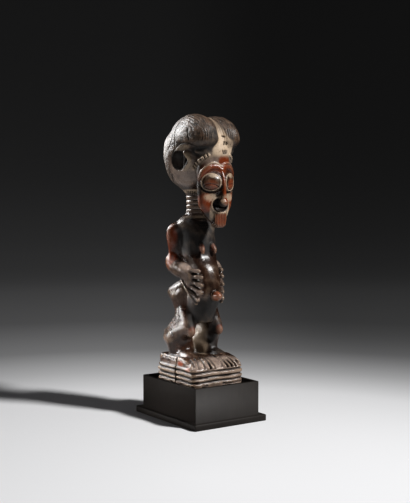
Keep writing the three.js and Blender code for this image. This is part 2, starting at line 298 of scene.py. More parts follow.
def normals_of(points, triangles):
    """Each point's outward direction: the sum of its faces' areas and directions."""
    a, b, c = (points[triangles[:, k]] for k in range(3))
    face = np.cross(b - a, c - a)
    normal = summed(triangles.ravel(), np.repeat(face, 3, axis=0), len(points))
    return normal / np.maximum(np.linalg.norm(normal, axis=1, keepdims=True), 1e-12)


# The figure's big forms

SKULL = [
    [310, 0, 9, 13, 14, 13], [316, 0, 9, 17, 18, 17], [322, 0, 7, 24, 25, 29], [330, 0, 5, 33, 33, 42],
    [344, 0, 4, 40, 38, 50], [358, 0, 4, 43, 41, 53], [372, 0, 4, 44, 41, 53.5], [386, 0, 3, 42.5, 36, 51],
    [399, 0, 1, 36, 28, 43], [410, 0, -3, 24, 20, 31], [416, 0, -6, 14, 12, 20]]
SKULL_POWER = 2.15

# The two lobes of hair, each as its place across and its rise above its middle, and the roll below a lobe.
LOBES = ((-17, 36), (17, 33.8))
LOBE_ROLL = [[9, -46.5, 378, 4.4], [17, -44.5, 372, 5], [23, -40.5, 369, 4.6], [29, -33, 369, 3]]

FACE = np.array([
    [268, 0, -45, 5, 6, 6], [275, 0, -42, 11.5, 9, 14], [282, 0, -39.5, 17, 11, 22],
    [290, 0, -38, 22, 12.5, 26], [296, 0, -37, 25.5, 13, 28], [310, 0, -37, 27.6, 13.5, 28],
    [330, 0, -37, 28, 14, 28], [345, 0, -35, 28, 16, 28], [357, 0, -33, 25.5, 19.5, 28],
    [371, 0, -29, 21.5, 25, 24], [385, 0, -24, 15, 27.5, 20], [398, 0, -20, 10, 26.5, 16],
    [409, 0, -15, 6, 22, 14], [416, 0, -12, 4, 15, 10]])
FACE_POWER, JAW_POWER = 2.25, 1.25
FACE_ASIDE = -1.0

# The wedge that carries the two eyes, turned to either side of the nose.
WEDGE = [
    [311, 0, -38, 25, 14, 10], [316, 0, -38, 28, 19.5, 12], [328, 0, -38, 28.6, 20.5, 12],
    [339, 0, -38, 28.3, 19.5, 12], [346, 0, -38, 26, 15, 10]]
WEDGE_POWER = 1.25

NECK_Y = 9
NECK = [[276, 0, NECK_Y, 14.2, 14.2, 14.2], [318, 0, NECK_Y, 14, 14, 14]]
# The notched band under the skull and the collar: height behind and in front, reach, thickness and how tall.
NOTCHED_BAND = (319, 312.3, 14.6, 1.7, 1.9)
COLLAR = (284.5, 275, 15.2, 1.2)

TORSO = [
    [284, 0, 10, 14, 13, 13], [277, 0, 12, 24, 16, 15], [269, 0, 12, 28, 22, 18], [258, 0, 10, 25.5, 25, 20],
    [242, 0, 7, 25, 24, 26], [226, 0, 5, 24.5, 24, 27.5], [208, 0, -3, 20.3, 28, 27],
    [188, 0, -8, 20, 28, 26], [172, 0, -5, 23, 31, 32], [160, 0, 0, 24, 27, 34], [148, 0, 3, 21, 25, 28],
    [138, 0, 5, 19, 23, 20], [133, 0, 5, 18, 21, 18]]
TORSO_POWER = 2.4

UPPER_ARM = [
    [21, 17, 266, 9], [28.5, 24, 261, 8.8], [29.7, 24, 247, 8.2], [29.5, 24, 235, 6], [30, 25, 228, 5.2]]
FOREARM = [
    [30, 26, 220, 8.8], [30, 22, 214, 9.7], [29, 12, 209.5, 10], [27.5, 2, 206, 9.5], [25.5, -6, 203, 8]]
PALM = (25.5, -10, 196), (5, 9, 13)
ARMPIT_WEB = (25.5, 20, 245), (5, 7, 22)

LEG = [
    [84, 20, 17, 16, 21, 19], [97, 20, 18, 17, 22, 21], [108, 22.5, 20, 18.8, 22, 28],
    [115, 23.5, 18, 17, 23.5, 28.5], [125, 23.5, 15, 15, 30, 25], [135, 22, 11, 13.5, 25, 19],
    [144, 21, 7, 12, 17, 16], [156, 20, 10.5, 12.8, 15, 16.5], [172, 18.5, 16, 17, 20, 28],
    [180, 17.5, 15, 17, 20, 26], [187, 16, 11, 14, 15, 18], [193, 13, 9, 9, 10, 12]]
KNEE = (23.5, -11.5, 122), (6.3, 8, 8.5)
FOOT = [[24, 6, 86, 11], [24, -10, 82, 12], [23, -24, 76, 12]]


def face_depth(x, z):
    """How far forward the mask-like face reaches at a place across and up, from its own sections."""
    y, half, forward = (np.interp(z, FACE[:, 0], FACE[:, column]) for column in (2, 3, 4))
    across = np.minimum(np.abs(x) / half, 1)
    return y - forward * (1 - across ** FACE_POWER) ** (1 / FACE_POWER)


def big_forms():
    """Skull, lobes of hair, mask, neck, trunk, arms, legs and the wedges of the feet."""
    skull = loft(SKULL, SKULL_POWER)
    lobes = [egg((x, -10, 385), (26.5, 26.5), (48, 44), (18, rise)) for x, rise in LOBES]
    rolls = both(tube(LOBE_ROLL))
    mask = moved(loft(FACE, FACE_POWER, JAW_POWER), FACE_ASIDE)
    wedge = moved(loft(WEDGE, WEDGE_POWER, 2), FACE_ASIDE)
    trunk = loft(TORSO[::-1], TORSO_POWER)
    arms = both(tube(UPPER_ARM), tube(FOREARM, tall=1.22), ball(*PALM))
    limbs = both(loft(LEG), ball(*KNEE), tube(FOOT))
    return [skull, *lobes, *rolls, mask, wedge, loft(NECK), trunk, *both(ball(*ARMPIT_WEB)), *arms, *limbs]


# The crisp forms

# The plane that an eye lies in: its middle, its direction outwards along the face, and the way it looks.
EYE_MIDDLE = np.array([15.0, -50.6, 327.6])
EYE_OUTWARD = np.array([0.842, 0.538, 0.0])
EYE_LOOK = np.array([0.538, -0.842, 0.0])
EYE_RIM = (13.2, 11.4)
NEAR_EYE_BULGE, FAR_EYE_BULGE = 5.6, 3.8


def on_eye(across, up, out=0.0):
    """Points of the eye's plane, across and up from its middle, lifted by out the way the eye looks."""
    across, up, out = (part[..., None] for part in np.broadcast_arrays(across, up, out))
    return EYE_MIDDLE + across * EYE_OUTWARD + up * (0, 0, 1) + out * EYE_LOOK


def rim_line(start=0, end=360, grow=0.0, steps=48):
    """An oval round the eye, in the eye's plane, with a flatter lower half."""
    angle = np.radians(np.linspace(start, end, steps))
    wave = np.sin(angle)
    rise = np.sign(wave) * np.abs(wave) ** np.where(wave < 0, 0.8, 1)
    return (EYE_RIM[0] + grow) * np.cos(angle), (EYE_RIM[1] + grow) * rise


def oval(x, z, across, up, start, end, steps=16):
    """Points [x, z] on an oval, from angle start to end."""
    angle = np.radians(np.linspace(start, end, steps))
    return np.stack([x + across * np.cos(angle), z + up * np.sin(angle)], -1)


def eye_forms(bulge):
    """A domed eyeball inside a thin raised rim."""
    turn = np.linspace(-np.pi / 2, np.pi / 2, 30)[1:-1, None]
    across, up = rim_line(0, 360 * 47 / 48)
    share = np.cos(turn)
    out = np.sin(turn) * np.where(turn > 0, bulge, 6.0) - 0.8
    rim = with_radius(on_eye(*rim_line(-4, 364), 0.1), 1.05)
    return [skin(on_eye(share * across, share * up, out)), tube(rim, facing=EYE_LOOK, steps=120)]


# Lines over the face as [x, y, z]: the middle of the brow's broad band, its sharp outer edge, and the
# toothed strip that runs up the temple to the forehead, with the way the strip faces.
BROW = [[27.3, -40.6, 333], [25.1, -43.6, 338.5], [21.4, -46.4, 343.4], [16.5, -48.8, 347],
        [11, -50.5, 348.4], [5.4, -51.8, 347.3], [1.4, -53.9, 343.9]]
BROW_EDGE = [[28.2, -40, 332], [27.4, -41.3, 336.5], [25.9, -42.6, 342], [22.5, -45.9, 346.9],
             [17.2, -49.2, 351.7], [11.4, -51.3, 353.6], [4.4, -52.2, 351.8], [-1.5, -52.5, 348]]
TEMPLE = [[26.5, -25.5, 346], [27.3, -30, 350], [27.3, -34.4, 353.6], [25.6, -40.2, 358], [22, -45, 361.4],
          [18, -48.2, 363.6]]
TEMPLE_OUT = (0.8, -0.5, 0.3)

NOSE = [
    [298, 0, -49, 4, 8, 3], [303, 0, -49, 4.6, 12.5, 3], [313, 0, -49, 3.4, 13.2, 3],
    [325, 0, -49, 2.7, 12.8, 3], [336, 0, -48.5, 2.7, 10.5, 4], [345, 0, -47, 3.4, 7, 5]]
NOSE_POWER = 3.6
NOSE_TIP = (0.3, -57.5, 300.2), (6.6, 6.5, 6)
BEARD = [
    [266.6, 0, -47, 4.5, 3, 6], [268, 0, -47, 7.4, 5, 8], [271, 0, -47, 9.6, 6, 8], [285, 0, -47, 10, 6, 8],
    [288, 0, -47, 8.5, 5, 8]]
BEARD_POWER = 4
# The oval of the lips: its middle [x, z], half width and half height.
LIPS = (0, 297.5, 13.4, 10.6)


def face_forms():
    """The nose and its tip, the block of beard, the lips, the brows, the temple strips and the eyes."""
    lip_x, lip_z = oval(*LIPS, 62, 300, steps=24).T
    lip_line = np.stack([lip_x, face_depth(lip_x, lip_z) - 0.5, lip_z], -1)
    lip = tube(with_radius(lip_line, 1.3), facing=(0, -1, 0))
    eyes = [mirrored(shape) for shape in eye_forms(NEAR_EYE_BULGE)] + eye_forms(FAR_EYE_BULGE)
    band = [[*place, min(3.3, 2.3 + 0.5 * k)] for k, place in enumerate(BROW)]
    brow = tube(band, facing=EYE_LOOK, tall=0.6)
    edge = tube(with_radius(BROW_EDGE, 1.15), facing=EYE_LOOK)
    strip = tube(with_radius(TEMPLE, 2.5), facing=TEMPLE_OUT, tall=0.62)
    middle = [loft(NOSE, NOSE_POWER), ball(*NOSE_TIP), loft(BEARD, BEARD_POWER)]
    return [moved(shape, FACE_ASIDE) for shape in (*middle, *both(lip, brow, edge, strip), *eyes)]


# Hollows, as centre and radii.
EAR_HOLLOW = (43, -8, 356.5), (15, 14, 13.5)
EAR_DIMPLE = (38, -20, 356), (6, 3, 5)
MOUTH = (0, -50, 297.0), (12.8, 12, 9.5)


def ear_forms():
    """Three struts that frame the small pierced flap in front of each ear hollow, the notched band at the top
    of the neck and the thin collar at its foot."""
    top, front, foot = [37, -18.5, 367], [32.3, -24, 358.5], [35.3, -14, 344]
    struts = [tube([[*top, 2.6], [*front, 2.8]]), tube([[*front, 2.6], [*foot, 2.4]]),
              tube([[*top, 1.5], [36.2, -16.5, 357, 1.3], [*foot, 1.6]], facing=(0, 1, 0))]
    return both(*struts) + [neck_band(*NOTCHED_BAND), neck_band(*COLLAR)]


def neck_band(back, front, reach, thick, tall=1.0):
    """A ring round the neck, from its height at the back down to its height in front."""
    angle = np.linspace(0, 2 * np.pi, 49)
    height = front + (back - front) * (0.5 + 0.5 * np.sin(angle))
    path = np.stack([reach * np.cos(angle), NECK_Y + reach * np.sin(angle), height], -1)
    return tube(with_radius(path, thick), tall=tall, steps=120)


BREAST = [[8.5, -11, 243, 5.2], [9.2, -17, 239, 4.4], [10, -21, 235, 3.3], [10.2, -22, 231.5, 2.4]]
CROTCH = [[133.4, 0, 3, 14.5, 17, 17], [135, 0, 3, 16.5, 19, 18], [146, 0, 3, 19, 22, 22]]
CROTCH_POWER = 3
NAVEL = (0, -38, 172.8), (7, 12, 7)
GROIN = [[30, 0, 192, 2.2], [27, -12, 177, 2.7], [21, -22, 162, 2.4]]
# Thumb to little finger: where each leaves the palm and where it ends on the belly.
FINGERS = [[[25, -13, 207], [19, -25, 206.5]], [[25, -13, 199], [17.5, -29, 198]],
           [[25.5, -12, 193], [17.5, -30, 187]], [[26, -10, 188], [18, -29.5, 176.5]],
           [[26, -8, 182], [20.5, -25, 167]]]
FINGER_RADIUS = 2.9


def body_forms():
    """Navel, crotch, breasts, groin ridges, fingers and toes."""
    fingers = [tube(with_radius(ends, FINGER_RADIUS)) for ends in FINGERS]
    return [ball(*NAVEL), loft(CROTCH, CROTCH_POWER), *both(tube(BREAST), tube(GROIN), *fingers, *toes())]


def toes():
    """Five toes that fan out from the instep down the sloping front of the base."""
    made = []
    for toe in range(5):
        root, tip = 10 + 4.6 * toe, 10 + 7.4 * toe
        bend = 0.4 * root + 0.6 * tip
        front = -44.5 + 0.45 * toe * toe
        made.append(tube([[root, -20, 86, 2.6], [bend, -34, 81.5, 3.2], [tip, front, 75.5, 3.5]]))
    return made


def base_forms():
    """The square-cornered block of the base with its sloping top, and the crack in its near side."""
    inset = [[BASE_BOTTOM, 1.5], [BASE_BOTTOM + 1.5, 0.4], [60, 0.2], [66, 0], [73, 0.4], [75.5, 1.6]]
    block = [[z, 0, 0, BASE_HALF_WIDTH - by, BASE_HALF_DEPTH - by, BASE_HALF_DEPTH - by] for z, by in inset]
    top = [[73, 0, 1, 42, 45, 45], [77, 0, 1, 42, 44, 45], [82, 0, 1, 42, 38, 45], [85, 0, 1, 41.5, 31, 45],
           [87.5, 0, 1, 40, 20, 44]]
    height = np.linspace(48, 86, 14)
    path = np.stack([0 * height - BASE_HALF_WIDTH, BASE_CRACK_Y + 0.7 * np.sin(height / 5.5), height], -1)
    crack = tube(with_radius(path, 1.1), facing=(1, 0, 0), tall=8, steps=60)
    return [cut(loft(rows, BASE_SQUARE, steps=60, sides=240), [crack]) for rows in (block, top)]


# Relief that is pressed into the finished skin

def smoothstep(low, high, value):
    """0 below low, 1 above high, and a soft S between them."""
    share = np.clip((value - low) / (high - low), 0, 1)
    return share * share * (3 - 2 * share)


def ripple(points, length, seed, waves=7):
    """A smooth random unevenness of about the given wavelength, between -1 and 1: a sum of sine waves."""
    draw = np.random.default_rng(seed)
    direction = draw.normal(size=(waves, 3))
    direction /= np.linalg.norm(direction, axis=1, keepdims=True)
    pace = 2 * np.pi / (length * draw.uniform(0.7, 1.5, waves))
    phase = draw.uniform(0, 6.28, waves)
    return np.sin(points @ (direction * pace[:, None]).T + phase).sum(1) / np.sqrt(waves) / 1.4


FAR = 1e3


def distance_to(points, line, within):
    """Each point's distance to a run of straight stretches, or FAR for a point beyond within of them all."""
    line = np.asarray(line, float)
    far = np.full(len(points), FAR)
    near = np.all((points > line.min(0) - within) & (points < line.max(0) + within), axis=1).nonzero()[0]
    a, b = line[:-1], line[1:]
    step = b - a
    offset = points[near, None] - a
    share = np.clip((offset * step).sum(2) / (step * step).sum(1), 0, 1)
    far[near] = np.linalg.norm(offset - share[..., None] * step, axis=2).min(1)
    return far


def near_line(points, line, width, within=None):
    """1 on a line, falling off to 0 over about the given half width: e^-(distance / width)^2."""
    return np.exp(-(distance_to(points, line, within or 2.5 * width) / width) ** 2)


def strongest(marks):
    """The largest of several marks at each point."""
    return reduce(np.maximum, marks)


NEAR_SIDE = (-1,)
AS_DRAWN = (1,)


def scored(points, lines, width, sides=(1, -1)):
    """1 along the middle of each line and 0 a few widths away, on both sides or on one."""
    return strongest(near_line(points * (side, 1, 1), line, width) for line in lines for side in sides)


def neck_rings(points):
    """Four soft rings round the neck, parted by narrow grooves."""
    x, y, z = points.T
    pitch, depth, half_width = 6.2, 1.15, 0.28
    on_neck = smoothstep(20, 17.5, np.hypot(x, y - NECK_Y))
    on_neck = on_neck * smoothstep(284.5, 286, z) * smoothstep(313, 311, z)
    phase = (z - 287) / pitch % 1
    return -depth * on_neck * np.maximum(0, 1 - np.abs(phase - 0.6) / half_width) ** 1.5


def base_rings(points):
    """Three grooves round the base, a little uneven as a knife leaves them."""
    x, y, z = points.T
    z = z + 0.8 * ripple(points, 45, 5)
    side = smoothstep(76, 74, z) * smoothstep(38, 41, np.maximum(np.abs(x), np.abs(y) - 3))
    depth = 0
    for level, deep in BASE_GROOVES:
        depth = depth + deep * np.maximum(0, 1 - np.abs(z - level) / BASE_GROOVE_HALF_WIDTH)
    return -side * depth * (1 + 0.3 * ripple(points, 20, 6))


def hair_lines(points, normals):
    """Fine combed lines that run from front to back over the lobes and down to the nape."""
    pitch, depth, half_width = 2.7, 0.38, 0.3
    phase = (np.abs(points[:, 0]) + 0.5 * ripple(points, 25, 11)) / pitch % 1
    line = np.maximum(0, 1 - np.abs(phase - 0.5) / half_width)
    return -depth * smoothstep(0, 3, hair_edge(points)) * line * (1 - np.abs(normals[:, 0]) ** 6)


def hair_edge(points):
    """Above 0 on the hair: behind and above the ear, and on the lobes over the forehead; in millimetres."""
    _, y, z = points.T
    over_ear = np.hypot(y - 3, z - 357) - 20
    front = (y + 10) * 0.35 + (z - 368)
    behind = y - 8
    return np.minimum(over_ear, np.maximum(front, np.minimum(behind, z - 316)))


def along_face(points, lines, width, sides=(1, -1)):
    """1 along lines [[x, z], ...] drawn on the face, seen straight on, and 0 a few widths away."""
    flat = points[:, [0, 2]] - (FACE_ASIDE, 0)
    flat[points[:, 1] > -34] = FAR
    return strongest(near_line(flat * (side, 1), line, width) for line in lines for side in sides)


def along_eye(points, lines, width):
    """1 along lines (across, up) drawn in the planes of both eyes, and 0 a few widths away."""
    marks = []
    for side in (1, -1):
        from_middle = (points - (FACE_ASIDE, 0, 0)) * (side, 1, 1) - EYE_MIDDLE
        flat = np.stack([from_middle @ EYE_OUTWARD, from_middle[:, 2]], -1)
        flat[np.abs(from_middle @ EYE_LOOK) > 9] = FAR
        marks += [near_line(flat, np.stack(line, -1), width) for line in lines]
    return strongest(marks)


def lids():
    """The almond of the lids, as an upper and a lower line (across, up) in the eye's plane."""
    across = np.linspace(-10.8, 10.8, 25)
    bow = np.sqrt(np.maximum(0, 1 - (across / 10.8) ** 2))
    return [(across, -7.6 + 5.0 * bow + 0.1 * across), (across, -7.6 - 2.6 * bow + 0.1 * across)]


# Strokes on the forehead between the lobes, as [x, z] seen straight on.
FOREHEAD = [[[1.6, 369.6], [3.0, 365.6]], [[4.6, 369.8], [4.6, 365.4]], [[7.6, 370], [7.0, 365.8]],
            [[10.2, 369.6], [9.8, 366.6]], [[5.0, 381.4], [4.6, 378]], [[8.0, 381], [8.4, 378.2]],
            [[3.2, 389.4], [5.4, 388.4]]]

# The furrow of the spine and the creases of the wrists and elbows.
SPINE = [[[0, 34, 266], [0, 30, 240], [0, 26, 205], [0, 20, 182]]]
WRIST = [[[27, -6, 213], [31, -4, 206], [28, -6, 197]]]
ELBOW = [[[33, 17, 231], [37, 22, 231], [37, 28, 230], [32, 33, 230], [26, 32, 231]]]

# How deep each kind of groove is pressed in, and its half width.
GROOVES = {"lids": (0.8, 0.75), "under_eye": (1.6, 1.1), "inner_rim": (0.4, 0.7), "forehead": (1.6, 0.9),
           "beard": (1.0, 0.75), "spine": (1.4, 2.6), "wrist": (1.2, 1.3), "elbow": (1.9, 1.6),
           "teeth": (1.7, 0.8), "notches": (1.3, 0.7), "lines": (0.9, 0.8), "cracks": (0.8, 0.6)}


def pressed(name, along, points, lines, **sides):
    """How deep the named grooves are at each point, with the function that measures along their lines."""
    depth, width = GROOVES[name]
    return depth * along(points, lines, width, **sides)


def face_relief(points):
    """Lids, the grooves round the eye, marks on the forehead and the strands of the beard."""
    strands = [[[x, 268.5], [0.9 * x, 286]] for x in (0, 2.9, 5.8, 8.3)]
    depth = -pressed("lids", along_eye, points, lids())
    depth = depth - pressed("under_eye", along_eye, points, [rim_line(200, 340, 2.2)])
    depth = depth - pressed("inner_rim", along_eye, points, [rim_line(180, 360, -1.7)])
    depth = depth - pressed("forehead", along_face, points, FOREHEAD, sides=AS_DRAWN)
    return depth - pressed("beard", along_face, points, strands)


# Where the gaps between the toes start and end, from the photograph: first the near foot, then the far one.
TOE_GAPS = [[[-35, -27, 85.5], [-37.5, -42, 78.5]], [[-27, -26, 86], [-31, -43.5, 77]],
            [[-18, -24, 86.4], [-23.4, -44.5, 76]], [[-10.5, -26, 85.5], [-13.5, -46, 75]],
            [[-5.6, -26.5, 85], [-5.6, -46, 75]], [[8, -21, 87], [15, -46, 75]],
            [[15, -25, 86], [22.4, -46, 75.5]], [[24, -26, 85], [29.7, -45.5, 75]],
            [[32.5, -28, 83.3], [37, -43, 76]]]
TOE_GAP_WIDTH = 1.35


def toe_gaps(points):
    """1 along the gaps between the toes, 0 away from them."""
    marks = []
    for root, tip in TOE_GAPS:
        bend = 0.5 * (np.array(root) + tip) + (0, -1.5, 0.8)
        marks.append(near_line(points, through([root, bend, tip], 8), TOE_GAP_WIDTH, within=4))
    return strongest(marks)


def foot_relief(points):
    """Gaps between the toes, deepest at their tips."""
    return -toe_gaps(points) * (2.2 + 2.0 * smoothstep(84, 77, points[:, 2]))


def chest_dots(points):
    """Three short rows of raised dots below the throat."""
    dots = [[x, -6 - 0.42 * row - 0.02 * x * x, 273 - 3.4 * row]
            for row in range(3) for x in (-6, -3, 0, 3, 6)]
    mark = np.zeros(len(points))
    for dot in np.array(dots, float):
        near = np.all(np.abs(points - dot) < 6, axis=1).nonzero()[0]
        gap = np.hypot(points[near, 0] - dot[0], points[near, 2] - dot[2])
        mark[near] = np.maximum(mark[near], np.exp(-(gap / 0.9) ** 2))
    return 0.45 * mark


def seams(points):
    """The furrow of the spine, and the creases at wrists and elbows."""
    depth = -pressed("spine", scored, points, SPINE) - pressed("wrist", scored, points, WRIST)
    return depth - pressed("elbow", scored, points, ELBOW)


# Stretches of the base's front that are worn back, each with its half width.
UNDERCUTS = (([[8, -47, 50.5], [44, -46, 51.5]], 2.2), ([[-43, -47.5, 63.5], [-30, -47.5, 63.4]], 2.0),
             ([[-43, -47.5, 57], [-35, -47.5, 57]], 1.8))


def worn_corners(points):
    """Chips along the base's lower edge, and the worn stretches of its front."""
    x, y, z = points.T
    edge = smoothstep(57, 51, z) * smoothstep(38, 42, np.maximum(np.abs(x), np.abs(y) - 3))
    chips = edge * smoothstep(0.35, 0.8, ripple(points, 14, 21))
    undercut = strongest(near_line(points, line, width, within=6) for line, width in UNDERCUTS)
    return -1.6 * chips - 2.0 * undercut


def relief(points, triangles, laid):
    """All the fine carving, pressed in or raised along each point's outward direction, in millimetres."""
    normals = normals_of(points, triangles)
    depth = neck_rings(points) + base_rings(points) + hair_lines(points, normals) + face_relief(points)
    depth = depth + foot_relief(points) + chest_dots(points) + seams(points) + worn_corners(points)
    depth = depth - pressed("teeth", scored, points - (FACE_ASIDE, 0, 0), laid["teeth"])
    depth = depth - pressed("notches", scored, points, laid["notches"])
    depth = depth - pressed("lines", scored, points, laid["lines"])
    depth = depth - pressed("cracks", scored, points, laid["cracks"], sides=NEAR_SIDE)
    depth = depth + 0.16 * ripple(points, 9, 3) + 0.25 * ripple(points, 22, 4)
    return points + normals * depth[:, None]


def laid_on(shape, path):
    """A path moved onto the nearest points of a surface, each of them taken once in a row."""
    points = shape[0]
    nearest = [int(((points - place) ** 2).sum(1).argmin()) for place in path]
    return points[[place for place, last in zip(nearest, [-1, *nearest]) if place != last]]


# Lines that are laid onto the head: the arc over the ear, cracks in the hair and the lines down to the nape.
OVER_EAR = [[43.5, 4, 362], [43.5, -2, 371], [42.5, -8, 376], [42, -14, 379], [40, -24, 380.5],
            [38, -32, 379.5], [32, -39, 375.5]]
CRACKS = [[[30, -8, 414], [36, -3, 405], [41.4, -1, 396], [42.7, -1.5, 385], [42.6, -2.6, 371]],
          [[38, -28, 402], [39.8, -30, 392], [39.7, -32.6, 384]],
          [[43, 14, 372], [42.5, 8, 380], [41, 6, 392]]]
NAPE = [[[41, 16, 346], [34, 30, 330], [22, 36, 320]], [[40, 20, 352], [34, 36, 336], [20, 40, 324]],
        [[38, 12, 338], [30, 24, 324], [18, 28, 317]]]


def head_lines(shape):
    """The incised lines of the head: teeth of the temple strip, notches of the neck band, lines of the hair.
    Teeth and notches come twice: above the wood, to be cut, and on the floor of the cut, to be darkened with
    dirt and painted shade."""
    path = through(TEMPLE, 24)
    out = np.array(TEMPLE_OUT)
    across = np.cross(out, np.gradient(path, axis=0))
    across *= np.sign(across[:, 2:]) / np.linalg.norm(across, axis=1, keepdims=True)

    def teeth(high):
        """Short lines across the strip, raised above its middle."""
        middle = path + high * out
        return [[middle[k] + 2.0 * across[k], middle[k] - 1.8 * across[k]] for k in range(2, 23, 4)]

    def notches(reach):
        """Upright lines round the band's front half, at a distance from the middle of the neck."""
        lines = []
        for angle in np.radians(np.arange(184, 357, 11.5)):
            x, y, lean = reach * np.cos(angle), NECK_Y + reach * np.sin(angle), 3.25 * np.sin(angle)
            lines.append([[x, y, z + lean] for z in (312.2, 318.4)])
        return lines

    lines = [laid_on(shape, through(line, 20)) for line in (OVER_EAR, *NAPE)]
    cracks = [laid_on(shape, through(line, 20)) for line in CRACKS]
    return {"teeth": teeth(1.45), "teeth_floor": teeth(0.3), "notches": notches(16.6),
            "notches_floor": notches(15.6), "lines": lines, "cracks": cracks}


# Where the wood changes colour, and where painted light and painted shade lie on it: soft ovals [centre],
# [radii], strength. Those in PAIRS are on both sides.
PAIRS = {
    "red_wear": [
        [[14, -50, 325], [11, 8, 8], 0.75], [[21, -44, 300], [10, 14, 13], 0.75],
        [[33, 26, 252], [12, 12, 20], 0.8], [[34, 26, 219], [12, 14, 13], 0.95],
        [[10, -22, 236], [5, 6, 9], 0.45], [[23, -20, 122], [8, 8, 9], 0.35],
        [[44, -15, 80], [5, 6, 4], 0.8], [[44, -34, 74], [5, 5, 4], 0.6]],
    "pale_wood_and_painted_light": [
        # Pale wood, partly painted light: the highlights on the forearms and hands and the lit skull below
        # the ears.
        [[28, 34, 112], [18, 18, 24], 0.15], [[33, -10, 338], [15, 26, 24], 0.85],
        [[26, -34, 360], [10, 16, 9], 0.4], [[30, -12, 120], [12, 16, 20], 0.12],
        [[24, -12, 190], [12, 18, 26], 0.2], [[22, -26, 190], [7, 8, 26], 0.35],
        [[28, -2, 210], [8, 14, 8], 0.75]],
    "kaolin_and_painted_highlight": [
        # Kaolin, with painted highlights on the ear flaps and on top of the eyes.
        [[14, -48, 307], [11, 10, 5], 0.6], [[13, -48, 290], [3, 10, 14], 0.6],
        [[36, -20, 355], [6, 10, 13], 0.75], [[41, -18, 374], [6, 20, 4], 0.4],
        [[15, -54, 336.5], [5.5, 8, 3], 0.55]],
    # Black patina, partly painted shade: under the lobes, down the sides of the mask and beside the eyes and
    # nose.
    "patina_and_painted_shade": [
        [[24, -40, 369], [15, 16, 8], 0.95], [[14, -54, 383], [4.5, 8, 14], 0.6],
        [[29, -34, 325], [3.2, 9, 30], 0.8], [[25, -54, 322], [5, 8, 5], 0.8],
        [[7, -58, 322], [3, 8, 4], 0.6]]}
SINGLES = {
    "red_wear": [
        [[-1, -62, 320], [3.0, 5, 30], 1.0], [[0, -54, 277], [10, 11, 12], 0.7],
        [[5, -54, 357], [10, 9, 8], 0.95], [[1, -60, 300], [8, 8, 7], 0.7], [[0, -47, 173], [9, 8, 9], 0.85]],
    "pale_wood_and_painted_light": [
        [[4, -36, 76], [44, 20, 12], 0.75], [[12, -50, 60], [50, 14, 20], 0.6],
        [[30, 20, 66], [30, 40, 22], 0.7], [[-44, 0, 76], [9, 34, 5], 0.3], [[0, 9, 300], [22, 26, 18], 0.42],
        [[0, -58, 186], [14, 10, 45], 0.15], [[0, -50, 360], [30, 14, 14], 0.45],
        [[0, 30, 360], [50, 40, 50], 0.25]],
    "kaolin_and_painted_highlight": [
        # Kaolin, with painted light on the inner side of the far leg and a painted highlight on the nose tip.
        [[6, 6, 108], [7, 20, 24], 0.5], [[-5, -62, 303], [3.5, 4, 3.5], 0.45],
        [[0, -52, 288], [10, 9, 2.5], 0.7], [[0, 3, 315.5], [24, 20, 3.5], 0.8],
        [[0, -2, 280], [24, 20, 2], 0.35]],
    # Black patina, partly painted shade: on the chest, in the crotch, on the back behind the arms, under the
    # near lobe, down the fronts of the legs and on the base's near side.
    "patina_and_painted_shade": [
        [[0, 0, 250], [34, 30, 26], 1.0], [[0, -20, 150], [24, 24, 24], 1.0],
        [[0, 20, 190], [30, 22, 30], 0.7], [[-15, -58, 384], [9, 9, 20], 0.75],
        [[-29, -42, 371], [14, 14, 5], 0.7], [[-23, -16, 140], [6, 12, 40], 0.75],
        [[-46, -4, 64], [9, 44, 14], 0.5], [[22, -12, 108], [14, 14, 26], 0.75]]}


def folded(points):
    """The points with those of the -X side mirrored over to the +X side."""
    return np.column_stack([np.abs(points[:, 0]), points[:, 1:]])


def oval_gap(points, centre, radii):
    """0 at the centre of an ellipsoid and 1 on its surface."""
    return np.linalg.norm((points - centre) / radii, axis=1)


def ovals(points, name):
    """The strongest of the soft ovals of that name at each point."""
    return strongest(strength * smoothstep(1.25, 0.75, oval_gap(where, centre, radii))
                     for where, table in ((folded(points), PAIRS), (points, SINGLES))
                     for centre, radii, strength in table[name])


def in_hollows(points):
    """1 inside the ears' hollows and the open mouth."""
    both_ears, face = folded(points), points - (FACE_ASIDE, 0, 0)
    hollows = (both_ears, EAR_HOLLOW), (both_ears, EAR_DIMPLE), (face, MOUTH)
    return strongest(smoothstep(1.08, 0.97, oval_gap(where, *hollow)) for where, hollow in hollows)


def bare_crest(points):
    """1 on the bare strip between the lobes, which is narrower at the top and where the near lobe bulges."""
    x, y, z = points.T
    reach = np.interp(z, [362, 372, 385, 412], [13, 13, 9.5, 3.5])
    reach = reach + 7 * smoothstep(0, 3, x) * smoothstep(392, 378, z)
    reach = reach - 4.5 * smoothstep(0, -3, x) * np.exp(-((z - 384) / 9) ** 2)
    crest = smoothstep(1.5, -1.5, np.abs(x + 1) - reach) * smoothstep(360, 366, z) * smoothstep(-15, -25, y)
    return crest * (0.35 + 0.65 * smoothstep(403, 390, z))


